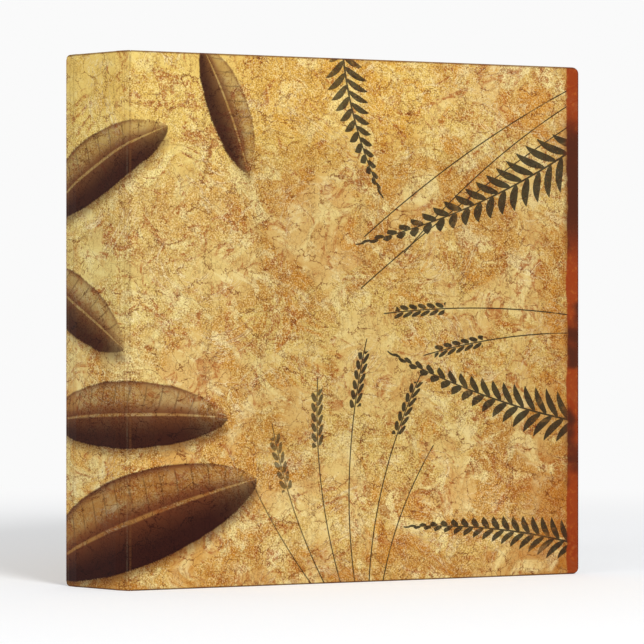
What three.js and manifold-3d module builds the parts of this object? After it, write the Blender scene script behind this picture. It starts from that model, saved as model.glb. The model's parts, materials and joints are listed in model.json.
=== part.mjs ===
// A letter-size ring binder standing upright with its front cover a little ajar.
// Three stiff panels (front cover, spine, back cover) are boards wrapped in a printed sheet whose
// margins are turned in over the edges. Two flexible strips join the spine to the covers. A D-ring
// mechanism is riveted to the inside of the back cover.
// Millimetres, +Z up. The spine faces -X, the front cover faces -Y, and the floor is z = 0.
import * as THREE from 'three';
import * as BufferGeometryUtils from 'three/addons/utils/BufferGeometryUtils.js';
import Module from 'manifold-3d';

// Driving dimensions: case
const coverHeight = 297;
const coverWidth = 275;
const spineWidth = 29;
const hingeWidth = 9.2; // flexible strip between the spine panel and a cover's fold line
const hingeTilt = THREE.MathUtils.degToRad(10); // strips lean inwards from the spine's plane
const frontAjar = THREE.MathUtils.degToRad(29.4); // front cover's opening from parallel
const wrapSheet = 0.45; // printed, laminated sheet
const boardThickness = 1.5;
const linerSheet = 0.35;
const pocketSheet = 0.3;
const hingeSheet = 1.2; // wrap and liner bonded together with no board between them
const glueLine = 0.3;
const turnIn = 14; // margin of the wrap folded over inside
const linerMargin = 5; // border of turned-in wrap left showing round a liner
const foreCornerRadius = 4;
const frontHingeCornerRadius = 0.8;
const backHingeCornerRadius = 3.5;
const foldGap = 0.4; // between a strip's beaded end and the cover that turns round it
const pocketHeight = 188;
const pocketSlant = 46; // drop of the pocket's mouth towards the hinge side
const pocketMargin = 9; // from the cover's edges to the pocket's welded sides

// Driving dimensions: ring mechanism
const ringPitch = 107.95; // three-hole letter spacing
const ringCount = 3;
const wireDiameter = 3.6;
const ringTop = 36.5; // wire's centre line above the liner
const ringArcRadius = 16.5; // curved side of the D
const ringArcCentre = -1; // across, from the plate's centre line
const ringArcSpan = THREE.MathUtils.degToRad(125); // from its foot up to the top of the D
const legRise = 1.2; // straight part of a curved half above its foot
const sweepHandle = 3; // how gently the leg sweeps out into the arc
const ringCorner = 6; // corner of the D's straight side
const ringRoot = 9.2; // where a leg stands on its blade, from the plate's centre line
const tenonRadius = 1.1;
const tipGap = 0.3;
const plateLength = 276;
const plateWidth = 25;
const plateRise = 8.5;
const plateWall = 5.2; // straight part of the plate's sides
const plateSheet = 0.9;
const plateOffset = 33; // cover's fold line to the plate's centre line
const hemWidth = 1.5; // plate's edge folded inwards, which carries the blades
const hemHeight = 2.2;
const bladeSheet = 0.9;
const bladePivotHeight = 3.4;
const bladeTilt = THREE.MathUtils.degToRad(6); // closed blades sag this much to the centre line
const bladeClearance = 0.35; // blade's outer edge to the plate's wall
const bladeGap = 0.4; // between the two blades
const runningClearance = 0.3;
const leverPivotInset = 5; // from the plate's end
const leverPivotHeight = 3.6;
const trunnionRadius = 1.1;
const leverWidth = 13;
const leverHeight = 15; // above its pivot
const leverSheet = 1.3;
const fingerWidth = 5;
const fingerReach = 3;
const fingerTopHeight = 1.1; // above the liner, under the closed blades
const fingerSheet = 0.8;
const rivetInset = 18; // from the plate's end
const rivetHeadRadius = 5;
const rivetHeadRise = 1.2;
const rivetShankRadius = 2;
const rivetShoulderRadius = 2.6;

// Sizes that follow
const panelThickness = 2 * wrapSheet + 2 * glueLine + boardThickness;
const linerNear = panelThickness + glueLine;
const linerFace = linerNear + linerSheet;
const pocketNear = linerFace + glueLine;
const bead = hingeSheet / 2; // a strip's end is a half round of this radius about the fold line
const panelStart = bead + foldGap;
const plateCentreHeight = coverHeight / 2;
const wireRadius = wireDiameter / 2;
const bladePivot = plateWidth / 2 - plateSheet - bladeClearance;
const bladeWidth = bladePivot - bladeGap / 2;
const bladeEndInset = leverPivotInset + trunnionRadius + 2 * runningClearance;
const ringHeights = Array.from(
  { length: ringCount },
  (unused, i) => (i - (ringCount - 1) / 2) * ringPitch,
);
const rivetHeights = [-1, 1].map((end) => end * (plateLength / 2 - rivetInset));

// Materials, read from the photograph or usual for the hidden parts
const material = (color, roughness, metalness = 0) =>
  new THREE.MeshStandardMaterial({ color, roughness, metalness });
const printedPaper = material(0xd0a04f, 0.45);
const greyboard = material(0x9a8d7c, 0.9);
const whiteLiner = material(0xf0eee8, 0.6);
const pocketVinyl = material(0xe9e7e0, 0.4);
const nickel = material(0xc9ccd0, 0.25, 1);
const zincSteel = material(0xb4b8bc, 0.35, 1);

// Solids

const wasm = await Module();
wasm.setup();

function solidOf(geometry) {
  const bare = geometry.clone();
  bare.deleteAttribute('normal');
  bare.deleteAttribute('uv');
  const merged = BufferGeometryUtils.mergeVertices(bare, 1e-4);
  return new wasm.Manifold(
    new wasm.Mesh({
      numProp: 3,
      vertProperties: new Float32Array(merged.attributes.position.array),
      triVerts: new Uint32Array(merged.index.array),
    }),
  );
}

function geometryOf(solid) {
  const mesh = solid.getMesh();
  const geometry = new THREE.BufferGeometry();
  const positions = new THREE.BufferAttribute(new Float32Array(mesh.vertProperties), 3);
  geometry.setAttribute('position', positions);
  geometry.setIndex(new THREE.BufferAttribute(new Uint32Array(mesh.triVerts), 1));
  geometry.computeVertexNormals();
  return geometry;
}

function cut(geometry, tools) {
  const whole = tools.reduce((left, tool) => left.subtract(solidOf(tool)), solidOf(geometry));
  return geometryOf(whole);
}

function join(geometries) {
  const [first, ...others] = geometries;
  const whole = others.reduce((sum, other) => sum.add(solidOf(other)), solidOf(first));
  return geometryOf(whole);
}

function common(first, second) {
  return geometryOf(solidOf(first).intersect(solidOf(second)));
}

// A shape in (x, y) pushed along Z
function alongZ(shape, low, high, curveSegments = 6) {
  const geometry = new THREE.ExtrudeGeometry(shape, {
    depth: high - low,
    bevelEnabled: false,
    curveSegments,
  });
  return geometry.translate(0, 0, low);
}

// A shape in (x, z) pushed along Y between two planes given in either order
function alongY(shape, first, second, curveSegments = 6) {
  const geometry = alongZ(shape, 0, Math.abs(second - first), curveSegments);
  return geometry.rotateX(Math.PI / 2).translate(0, Math.max(first, second), 0);
}

// A shape in (y, z) pushed along X
function alongX(shape, low, high, curveSegments = 6) {
  const turn = new THREE.Matrix4().makeBasis(
    new THREE.Vector3(0, 1, 0),
    new THREE.Vector3(0, 0, 1),
    new THREE.Vector3(1, 0, 0),
  );
  return alongZ(shape, low, high, curveSegments).applyMatrix4(turn);
}

function block(x0, x1, y0, y1, z0, z1) {
  const geometry = new THREE.BoxGeometry(x1 - x0, y1 - y0, z1 - z0);
  return geometry.translate((x0 + x1) / 2, (y0 + y1) / 2, (z0 + z1) / 2);
}

// An upright rectangle in the plane of a panel, with one corner radius at each side
function sheetOutline(left, right, bottom, top, leftRadius, rightRadius) {
  const shape = new THREE.Shape();
  const corner = (x, y, radius, start) => {
    if (radius > 0) shape.absarc(x, y, radius, start, start + Math.PI / 2);
    else shape.lineTo(x, y);
  };
  shape.moveTo(left + leftRadius, bottom);
  shape.lineTo(right - rightRadius, bottom);
  corner(right - rightRadius, bottom + rightRadius, rightRadius, -Math.PI / 2);
  shape.lineTo(right, top - rightRadius);
  corner(right - rightRadius, top - rightRadius, rightRadius, 0);
  shape.lineTo(left + leftRadius, top);
  corner(left + leftRadius, top - leftRadius, leftRadius, Math.PI / 2);
  shape.lineTo(left, bottom + leftRadius);
  corner(left + leftRadius, bottom + leftRadius, leftRadius, Math.PI);
  return shape;
}

function piece(name, geometry, finish) {
  const mesh = new THREE.Mesh(geometry, finish);
  mesh.name = name;
  return mesh;
}

// Covers. A cover's own frame has its origin on the fold line at the floor, x across the cover
// and its outer face one bead's radius outside the fold line. inward is the sign of local y that
// points into the binder: +1 for the front cover, -1 for the back cover.

function coverFrame(inward) {
  const plane = (depth) => inward * (depth - bead);
  const end = panelStart + coverWidth;
  return { plane, end };
}

function coverWrap(inward, hingeRadius, holes) {
  const { plane, end } = coverFrame(inward);
  const open = panelStart - 1;
  const outer = sheetOutline(panelStart, end, 0, coverHeight, hingeRadius, foreCornerRadius);
  const room = sheetOutline(
    open,
    end - wrapSheet,
    wrapSheet,
    coverHeight - wrapSheet,
    0,
    foreCornerRadius - wrapSheet,
  );
  const window = sheetOutline(open, end - turnIn, turnIn, coverHeight - turnIn, 0, 0);
  return cut(alongY(outer, plane(0), plane(panelThickness)), [
    alongY(room, plane(wrapSheet), plane(panelThickness - wrapSheet)),
    alongY(window, plane(panelThickness - 1.5 * wrapSheet), plane(panelThickness + 1)),
    ...holes,
  ]);
}

function coverBoard(inward, hingeRadius, holes) {
  const { plane, end } = coverFrame(inward);
  const inset = wrapSheet + glueLine;
  const outline = sheetOutline(
    panelStart,
    end - inset,
    inset,
    coverHeight - inset,
    hingeRadius,
    foreCornerRadius - inset,
  );
  return cut(alongY(outline, plane(inset), plane(inset + boardThickness)), holes);
}

function coverLiner(inward, holes) {
  const { plane, end } = coverFrame(inward);
  const outline = sheetOutline(
    panelStart + linerMargin,
    end - linerMargin,
    linerMargin,
    coverHeight - linerMargin,
    1,
    2,
  );
  return cut(alongY(outline, plane(linerNear), plane(linerFace)), holes);
}

// A flat vinyl pocket, open at its slanted top
function coverPocket(inward, left) {
  const { plane, end } = coverFrame(inward);
  const right = end - pocketMargin;
  const shape = new THREE.Shape();
  shape.moveTo(left, pocketMargin);
  shape.lineTo(right, pocketMargin);
  shape.lineTo(right, pocketMargin + pocketHeight);
  shape.lineTo(left + pocketSlant, pocketMargin + pocketHeight);
  shape.lineTo(left, pocketMargin + pocketHeight - pocketSlant);
  return alongY(shape, plane(pocketNear), plane(pocketNear + pocketSheet));
}

function cover(side, inward, hingeRadius, pocketLeft, holes) {
  const group = new THREE.Group();
  group.add(
    piece(side + '_wrap', coverWrap(inward, hingeRadius, holes), printedPaper),
    piece(side + '_board', coverBoard(inward, hingeRadius, holes), greyboard),
    piece(side + '_liner', coverLiner(inward, holes), whiteLiner),
    piece(side + '_pocket', coverPocket(inward, pocketLeft), pocketVinyl),
  );
  return group;
}

// Spine panel: outer face in the plane x = 0, centred on y = 0

function spinePanel() {
  const half = spineWidth / 2;
  const far = half + 1;
  const inset = wrapSheet + glueLine;
  const face = sheetOutline(-half, half, 0, coverHeight, 0, 0);
  const room = sheetOutline(-far, far, wrapSheet, coverHeight - wrapSheet, 0, 0);
  const window = sheetOutline(-far, far, turnIn, coverHeight - turnIn, 0, 0);
  const board = sheetOutline(-half, half, inset, coverHeight - inset, 0, 0);
  const liner = sheetOutline(-half, half, linerMargin, coverHeight - linerMargin, 0, 0);
  const wrap = cut(alongX(face, 0, panelThickness), [
    alongX(room, wrapSheet, panelThickness - wrapSheet),
    alongX(window, panelThickness - 1.5 * wrapSheet, panelThickness + 1),
  ]);
  const group = new THREE.Group();
  group.add(
    piece('spine_wrap', wrap, printedPaper),
    piece('spine_board', alongX(board, inset, inset + boardThickness), greyboard),
    piece('spine_liner', alongX(liner, linerNear, linerFace), whiteLiner),
  );
  return group;
}

// Hinge strip in its own frame: x runs from the spine panel to the fold line, y is its thickness
function hingeStrip(cornerRadius) {
  const section = new THREE.Shape();
  section.moveTo(0, -bead);
  section.lineTo(hingeWidth, -bead);
  section.absarc(hingeWidth, 0, bead, -Math.PI / 2, Math.PI / 2);
  section.lineTo(0, bead);
  const tip = hingeWidth + bead;
  const outline = sheetOutline(0, tip, 0, coverHeight, 0, cornerRadius);
  return common(alongZ(section, 0, coverHeight, 10), alongY(outline, -hingeSheet, hingeSheet));
}

// Where a strip starts beside the spine panel and where its fold line lies. side is -1 for the
// front and +1 for the back.
function hingeFrame(side) {
  const root = new THREE.Vector2(bead, side * (spineWidth / 2 + glueLine));
  const along = new THREE.Vector2(Math.sin(hingeTilt), side * Math.cos(hingeTilt));
  return { root, along, fold: root.clone().addScaledVector(along, hingeWidth) };
}

// Ring mechanism in its own frame: x across the plate, y = -height above the liner, z from the
// plate's middle. A point (across, height) is written at(across, height).

const at = (across, height) => new THREE.Vector2(across, -height);

function plateArch(radius, half, centre) {
  const reach = Math.asin(half / radius);
  return Array.from({ length: 13 }, (unused, i) => {
    const angle = reach * (1 - i / 6);
    return at(radius * Math.sin(angle), centre + radius * Math.cos(angle));
  });
}

function plateSection() {
  const half = plateWidth / 2;
  const sagitta = plateRise - plateWall;
  const radius = (half * half + sagitta * sagitta) / (2 * sagitta);
  const centre = plateRise - radius;
  const inner = half - plateSheet;
  return new THREE.Shape([
    at(half, 0),
    ...plateArch(radius, half, centre),
    at(-half, 0),
    at(-inner + hemWidth, 0),
    at(-inner + hemWidth, hemHeight),
    at(-inner, hemHeight),
    ...plateArch(radius - plateSheet, inner, centre).reverse(),
    at(inner, hemHeight),
    at(inner - hemWidth, hemHeight),
    at(inner - hemWidth, 0),
  ]);
}

function ringPlate() {
  const above = plateRise + 1;
  const notchReach = wireRadius + 2 * runningClearance;
  const notches = ringHeights.flatMap((z) =>
    [-1, 1].map((side) => {
      const near = side * (ringRoot - wireRadius - 3 * runningClearance);
      const far = side * (plateWidth / 2 + 1);
      const low = Math.min(near, far);
      const high = Math.max(near, far);
      return block(low, high, -above, -hemHeight, z - notchReach, z + notchReach);
    }),
  );
  const leverSlots = [-1, 1].map((end) => {
    const half = leverWidth / 2 + 2 * runningClearance;
    const outer = end * (plateLength / 2 + 1);
    const inner = end * (plateLength / 2 - leverPivotInset - 2);
    const low = Math.min(outer, inner);
    const high = Math.max(outer, inner);
    return block(-half, half, -above, -(hemHeight + leverSheet), low, high);
  });
  const pivotHoles = [-1, 1].map((end) =>
    new THREE.CylinderGeometry(
      trunnionRadius + runningClearance,
      trunnionRadius + runningClearance,
      plateWidth + 2,
      16,
    )
      .rotateZ(Math.PI / 2)
      .translate(0, -leverPivotHeight, end * (plateLength / 2 - leverPivotInset)),
  );
  const rivetHoles = rivetHeights.map((z) => rivetHole(rivetShankRadius, z));
  const bar = alongZ(plateSection(), -plateLength / 2, plateLength / 2);
  return cut(bar, [...notches, ...leverSlots, ...pivotHoles, ...rivetHoles]);
}

// A hole for a rivet, long enough to pass through the plate and the whole cover
function rivetHole(radius, z) {
  const clear = radius + runningClearance;
  const reach = plateRise + panelThickness + 5;
  return new THREE.CylinderGeometry(clear, clear, 2 * reach, 24).translate(0, 0, z);
}

// One blade, placed at its closed tilt about its outer edge. side is -1 beside the spine.
function blade(side) {
  const end = plateLength / 2 - bladeEndInset;
  const low = side < 0 ? 0 : -bladeWidth;
  const slab = block(low, low + bladeWidth, -bladeSheet / 2, bladeSheet / 2, -end, end);
  slab.rotateZ(-side * bladeTilt);
  slab.translate(side * bladePivot, -bladePivotHeight, 0);
  const tenonHoles = ringHeights.map((z) => {
    const clear = tenonRadius + runningClearance;
    return new THREE.CylinderGeometry(clear, clear, 2 * plateRise, 16).translate(
      side * ringRoot,
      -bladePivotHeight,
      z,
    );
  });
  const rivetNotches = rivetHeights.map((z) =>
    rivetHole(rivetShoulderRadius + runningClearance, z),
  );
  return cut(slab, [...tenonHoles, ...rivetNotches]);
}

// Height of the underside of a ring's leg, clear of the blade that it stands on
const legFoot = bladePivotHeight + bladeSheet / 2 + 1.5 * runningClearance;

// Centre line of the curved half: a short leg on the spine-side blade, a sweep outwards, then a
// long arc up to the middle
function curvedHalf() {
  const centre = at(ringArcCentre, ringTop - ringArcRadius);
  const foot = Math.PI / 2 + ringArcSpan;
  const along = new THREE.Vector2(Math.sin(foot), Math.cos(foot));
  const sweepEnd = centre
    .clone()
    .add(new THREE.Vector2(Math.cos(foot), -Math.sin(foot)).multiplyScalar(ringArcRadius));
  const sweepHold = sweepEnd.clone().addScaledVector(along, -sweepHandle);
  const path = new THREE.Path();
  path.moveTo(-ringRoot, -legFoot);
  path.lineTo(-ringRoot, -(legFoot + legRise));
  path.bezierCurveTo(
    -ringRoot,
    -(legFoot + legRise + sweepHandle),
    sweepHold.x,
    sweepHold.y,
    sweepEnd.x,
    sweepEnd.y,
  );
  path.absarc(centre.x, centre.y, ringArcRadius, -foot, -Math.PI / 2, false);
  path.lineTo(-tipGap / 2, -ringTop);
  return path;
}

// Centre line of the straight half: a leg square to the cover, one tight corner, a short top
function straightHalf() {
  const path = new THREE.Path();
  path.moveTo(ringRoot, -legFoot);
  path.lineTo(ringRoot, -(ringTop - ringCorner));
  path.absarc(ringRoot - ringCorner, -(ringTop - ringCorner), ringCorner, 0, -Math.PI / 2, true);
  path.lineTo(tipGap / 2, -ringTop);
  return path;
}

function halfRing(path, steps, side, z) {
  const points = path.getSpacedPoints(steps).map((p) => new THREE.Vector3(p.x, p.y, z));
  const wire = new THREE.ExtrudeGeometry(
    new THREE.Shape().absarc(0, 0, wireRadius, 0, 2 * Math.PI),
    { steps, extrudePath: new THREE.CatmullRomCurve3(points), curveSegments: 12 },
  );
  const tenonTop = legFoot + 1;
  const tenonFoot = bladePivotHeight - bladeSheet / 2 - runningClearance;
  const tenon = new THREE.CylinderGeometry(tenonRadius, tenonRadius, tenonTop - tenonFoot, 12);
  tenon.translate(side * ringRoot, -(tenonTop + tenonFoot) / 2, z);
  return join([wire, tenon]);
}

// Thumb lever at one end of the plate. end is +1 at the top and -1 at the bottom; out and up are
// measured from the pivot, out away from the plate's middle.
function thumbLever(end) {
  const point = (out, up) => [-(leverPivotHeight + up), end * out];
  const arm = new THREE.Shape();
  const half = leverSheet / 2;
  arm.moveTo(...point(-half, 0));
  arm.lineTo(...point(-half, leverHeight * 0.3));
  arm.quadraticCurveTo(...point(-half, leverHeight * 0.8), ...point(6, leverHeight));
  arm.lineTo(...point(6.8, leverHeight - leverSheet));
  arm.quadraticCurveTo(...point(half + 0.6, leverHeight * 0.72), ...point(half, leverHeight * 0.3));
  arm.lineTo(...point(half, 0));
  const fingerTop = fingerTopHeight - leverPivotHeight;
  const fingerFoot = fingerTop - fingerSheet;
  const finger = new THREE.Shape();
  finger.moveTo(...point(-fingerReach, fingerTop));
  finger.lineTo(...point(-trunnionRadius, fingerTop));
  finger.lineTo(...point(-trunnionRadius, 0));
  finger.lineTo(...point(trunnionRadius, 0));
  finger.lineTo(...point(trunnionRadius, fingerFoot));
  finger.lineTo(...point(-fingerReach, fingerFoot));
  const trunnion = new THREE.CylinderGeometry(
    trunnionRadius,
    trunnionRadius,
    plateWidth + 2 * runningClearance,
    12,
  )
    .rotateZ(Math.PI / 2)
    .translate(0, -leverPivotHeight, 0);
  const lever = join([
    alongX(arm, -leverWidth / 2, leverWidth / 2),
    alongX(finger, -fingerWidth / 2, fingerWidth / 2),
    trunnion,
  ]);
  return lever.translate(0, 0, end * (plateLength / 2 - leverPivotInset));
}

// Rivet from a domed head on the cover's outer face to a flared cap on the plate's crown
function rivet(z) {
  const outerFace = -linerFace;
  const crownInside = plateRise - plateSheet;
  const neck = rivetShankRadius;
  const cap = plateRise + runningClearance;
  const profile = [
    [0, outerFace - rivetHeadRise],
    [rivetHeadRadius * 0.55, outerFace - rivetHeadRise * 0.9],
    [rivetHeadRadius * 0.88, outerFace - rivetHeadRise * 0.5],
    [rivetHeadRadius, outerFace],
    [rivetShankRadius, outerFace],
    [rivetShankRadius, runningClearance],
    [rivetShoulderRadius, runningClearance],
    [rivetShoulderRadius, crownInside - runningClearance],
    [neck, crownInside - runningClearance],
    [neck, cap],
    [neck + 1.6, cap],
    [neck + 1.2, cap + 0.6],
    [neck * 0.6, cap + 0.8],
    [0, cap + 0.5],
  ];
  const turned = new THREE.LatheGeometry(
    profile.map(([radius, height]) => new THREE.Vector2(radius, height)),
    24,
  );
  return turned.rotateX(Math.PI).translate(0, 0, z);
}

function ringMechanism() {
  const group = new THREE.Group();
  group.add(
    piece('ring_plate', ringPlate(), nickel),
    piece('blade_spine_side', blade(-1), zincSteel),
    piece('blade_page_side', blade(1), zincSteel),
    piece('lever_top', thumbLever(1), nickel),
    piece('lever_bottom', thumbLever(-1), nickel),
  );
  ringHeights.forEach((z, i) => {
    group.add(
      piece('ring_curved_' + (i + 1), halfRing(curvedHalf(), 30, -1, z), nickel),
      piece('ring_straight_' + (i + 1), halfRing(straightHalf(), 22, 1, z), nickel),
    );
  });
  rivetHeights.forEach((z, i) => {
    group.add(piece('rivet_' + (i + 1), rivet(z), nickel));
  });
  return group;
}

// Assembly

function binderModel() {
  const front = hingeFrame(-1);
  const back = hingeFrame(1);
  const mechanismX = plateOffset;
  const mechanismY = -(linerFace - bead);
  const rivetHolesInCover = rivetHeights.map((z) =>
    rivetHole(rivetShankRadius, z).translate(mechanismX, mechanismY, plateCentreHeight),
  );
  const backPocketLeft = plateOffset + plateWidth / 2 + pocketMargin;

  const binder = new THREE.Group();
  binder.add(spinePanel());

  const frontHinge = piece('front_hinge', hingeStrip(frontHingeCornerRadius), printedPaper);
  frontHinge.position.set(front.root.x, front.root.y, 0);
  frontHinge.rotation.z = front.along.angle();
  const backHinge = piece('back_hinge', hingeStrip(backHingeCornerRadius), printedPaper);
  backHinge.position.set(back.root.x, back.root.y, 0);
  backHinge.rotation.z = back.along.angle();
  binder.add(frontHinge, backHinge);

  const frontPocketLeft = panelStart + pocketMargin;
  const frontCover = cover('front', 1, frontHingeCornerRadius, frontPocketLeft, []);
  frontCover.position.set(front.fold.x, front.fold.y, 0);
  frontCover.rotation.z = -frontAjar;
  binder.add(frontCover);

  const backCover = cover('back', -1, backHingeCornerRadius, backPocketLeft, rivetHolesInCover);
  backCover.position.set(back.fold.x, back.fold.y, 0);
  const mechanism = ringMechanism();
  mechanism.position.set(mechanismX, mechanismY, plateCentreHeight);
  backCover.add(mechanism);
  binder.add(backCover);

  // The origin is under the middle of the whole binder's box
  binder.updateMatrixWorld(true);
  const middle = new THREE.Box3().setFromObject(binder, true).getCenter(new THREE.Vector3());
  binder.position.set(-middle.x, -middle.y, 0);
  return binder;
}

export default binderModel();
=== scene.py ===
# %% [markdown]
# # A ring binder in a printed case
#
# The real thing is a stationery binder: three boards wrapped in one laminated, printed sheet,
# folded at two creases, with a D-ring mechanism riveted inside the back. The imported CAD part
# already gives every board, joint and ring its size. Here it gets its looks: the printed sheet is
# modelled as a skin that bends at the folds, the rings become round wires, and each material is
# written as a small recipe of shader nodes.

# %% Load the fixed frame
import json
import math

import bmesh
import bpy
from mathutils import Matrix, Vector


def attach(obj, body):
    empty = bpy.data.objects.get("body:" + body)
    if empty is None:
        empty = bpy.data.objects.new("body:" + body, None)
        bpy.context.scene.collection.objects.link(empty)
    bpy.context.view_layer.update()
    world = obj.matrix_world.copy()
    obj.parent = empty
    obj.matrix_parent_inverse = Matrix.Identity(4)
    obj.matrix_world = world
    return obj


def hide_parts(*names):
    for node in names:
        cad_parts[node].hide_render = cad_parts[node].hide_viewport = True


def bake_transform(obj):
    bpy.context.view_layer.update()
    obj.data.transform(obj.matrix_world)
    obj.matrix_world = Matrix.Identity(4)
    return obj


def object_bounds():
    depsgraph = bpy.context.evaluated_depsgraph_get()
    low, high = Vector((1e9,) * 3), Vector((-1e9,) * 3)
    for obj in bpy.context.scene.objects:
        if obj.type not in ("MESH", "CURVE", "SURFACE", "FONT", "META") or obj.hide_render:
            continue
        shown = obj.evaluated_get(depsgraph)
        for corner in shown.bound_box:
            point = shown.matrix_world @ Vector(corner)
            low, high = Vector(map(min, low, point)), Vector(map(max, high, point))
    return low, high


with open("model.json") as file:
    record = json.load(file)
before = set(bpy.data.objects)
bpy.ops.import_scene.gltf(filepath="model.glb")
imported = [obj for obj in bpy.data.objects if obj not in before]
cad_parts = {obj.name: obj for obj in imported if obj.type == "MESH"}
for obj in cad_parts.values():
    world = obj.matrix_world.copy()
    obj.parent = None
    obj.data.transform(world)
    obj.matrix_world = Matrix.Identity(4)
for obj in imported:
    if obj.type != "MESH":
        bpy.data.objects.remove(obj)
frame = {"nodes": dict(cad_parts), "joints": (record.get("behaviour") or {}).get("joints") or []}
nodes = frame["nodes"]
cad_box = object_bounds()
MM = 0.001
joint_at = {joint["name"]: Vector(joint["pos_m"]) for joint in frame["joints"]}
front_fold = joint_at["front_cover_hinge"]
back_fold = joint_at["back_cover_hinge"]
height = cad_box[1].z
print("folds at", front_fold[:2], back_fold[:2], "height", round(height, 4))

# %% [markdown]
# ## The camera
#
# The object was photographed from far away with a long lens, so its upright edges stay upright. A
# camera that is kept level gives the same. Its place came from fitting the binder's top and bottom
# edges: the nearest edge is the front fold, and the cover runs away from it to the right.

# %% A level camera with a long lens
LENS = 153.49  # mm, before a sensor 36 mm wide
CAMERA_PLACE = (-1.25062, -0.97769, 0.1477)
CAMERA_HEADING = -51.4826  # degrees, seen from above
camera_data = bpy.data.cameras.new("camera")
camera_data.lens = LENS
camera_data.sensor_width = 36
camera_data.clip_end = 20
camera = bpy.data.objects.new("camera", camera_data)
bpy.context.scene.collection.objects.link(camera)
camera.location = CAMERA_PLACE
camera.rotation_euler = (math.radians(90), 0, math.radians(CAMERA_HEADING))
bpy.context.scene.camera = camera
print("camera is", round(camera.location.length, 3), "m from the middle of the floor")

# %% [markdown]
# ## Shader maths as plain expressions
#
# Every material below is arithmetic on patterns: "where the crackle is dark and the stain is weak,
# mix in some brown". Placing Math nodes one by one hides that. So one small class holds a socket
# and gives it the usual operators, and the recipe reads like the sentence.

# %% A socket that can be added, multiplied and mixed


class Sheet:
    """One material's node tree, with one method for adding any node."""

    def __init__(self, name, tree=None):
        if tree is None:
            self.material = bpy.data.materials.new(name)
            self.material.use_nodes = True
            tree = self.material.node_tree
        self.tree = tree
        self.tree.nodes.clear()

    def add(self, kind, settings=None, **values):
        node = self.tree.nodes.new(kind)
        for key, value in (settings or {}).items():
            setattr(node, key, value)
        for key, value in values.items():
            name = key.replace("_", " ")
            socket = node.inputs[int(key[1:])] if key[1:].isdigit() else node.inputs[name]
            if isinstance(value, Wire):
                self.tree.links.new(value.socket, socket)
            else:
                socket.default_value = value
        return node


class Wire:
    """A socket carrying one number."""

    def __init__(self, sheet, socket):
        self.sheet = sheet
        self.socket = socket

    def maths(self, operation, *others, clamp=False):
        settings = {"operation": operation, "use_clamp": clamp}
        values = {"i" + str(i + 1): other for i, other in enumerate(others)}
        node = self.sheet.add("ShaderNodeMath", settings, i0=self, **values)
        return Wire(self.sheet, node.outputs[0])

    def __add__(self, other):
        return self.maths("ADD", other)

    __radd__ = __add__

    def __mul__(self, other):
        return self.maths("MULTIPLY", other)

    __rmul__ = __mul__

    def __sub__(self, other):
        return self.maths("SUBTRACT", other)

    def __rsub__(self, other):
        return (self * -1.0).maths("ADD", other)

    def __truediv__(self, other):
        return self.maths("DIVIDE", other)

    def __pow__(self, other):
        return self.maths("POWER", other)

    def __abs__(self):
        return self.maths("ABSOLUTE")

    def least(self, other):
        return self.maths("MINIMUM", other)

    def most(self, other):
        return self.maths("MAXIMUM", other)

    def wrap(self):
        return self.maths("FRACT")

    def floor(self):
        return self.maths("FLOOR")

    def step(self, low, high):
        """0 below low, 1 above high, smooth between; low may be the larger, for a falling step."""
        settings = {"interpolation_type": "SMOOTHSTEP", "clamp": True}
        flip = low > high
        ends = {"i1": min(low, high), "i2": max(low, high)}
        ends.update({"i3": 1.0 if flip else 0.0, "i4": 0.0 if flip else 1.0})
        node = self.sheet.add("ShaderNodeMapRange", settings, i0=self, **ends)
        return Wire(self.sheet, node.outputs[0])


class Paint(Wire):
    """A socket carrying a colour."""

    def over(self, colour, mask, blend="MIX"):
        """This colour with another laid over it where the mask is 1."""
        settings = {"data_type": "RGBA", "blend_type": blend}
        value = colour if isinstance(colour, Wire) else (*colour, 1)
        node = self.sheet.add("ShaderNodeMix", settings, i0=mask, i6=self, i7=value)
        return Paint(self.sheet, node.outputs[2])


print("shader helpers ready")

# %% [markdown]
# ## Patterns in the plane of the sheet
#
# The print runs on round the folds, so its patterns are worked out on the unrolled sheet: across
# is the distance from the middle of the spine, and up is the height. Both are kept in a UV map, in
# metres, and turned into millimetres here.

# %% Coordinates and noises
FOLD_RUN = 24.0  # from the middle of the spine to a fold, along the sheet
FORE_EDGE = 300.0  # from the middle of the spine to the fore-edge


def unrolled(sheet):
    uv = sheet.add("ShaderNodeUVMap", {"uv_map": "unrolled"})
    parts = sheet.add("ShaderNodeSeparateXYZ", None, i0=Paint(sheet, uv.outputs[0]))
    across = Wire(sheet, parts.outputs[0]) * 1000.0
    up = Wire(sheet, parts.outputs[1]) * 1000.0
    return across, up


def point(sheet, x, y, z=0.0):
    node = sheet.add("ShaderNodeCombineXYZ", None, i0=x, i1=y, i2=z)
    return Paint(sheet, node.outputs[0])


def flat_colour(sheet, colour):
    node = sheet.add("ShaderNodeRGB")
    node.outputs[0].default_value = (*colour, 1)
    return Paint(sheet, node.outputs[0])


def noise(sheet, where, per_mm, detail=4.0, roughness=0.5, twist=0.0, dimensions="2D"):
    node = sheet.add(
        "ShaderNodeTexNoise",
        {"noise_dimensions": dimensions},
        Vector=where,
        Scale=per_mm,
        Detail=detail,
        Roughness=roughness,
        Distortion=twist,
    )
    return Wire(sheet, node.outputs[0])


def cracks(sheet, where, per_mm):
    settings = {"voronoi_dimensions": "2D", "feature": "DISTANCE_TO_EDGE"}
    node = sheet.add("ShaderNodeTexVoronoi", settings, Vector=where, Scale=per_mm)
    return Wire(sheet, node.outputs[0])


def specks(sheet, x, y, z=0.0):
    """One random number for each cell of a grid, from its whole-number place."""
    where = point(sheet, x, y, z)
    node = sheet.add("ShaderNodeTexWhiteNoise", {"noise_dimensions": "3D"}, Vector=where)
    return Wire(sheet, node.outputs[0])


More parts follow.
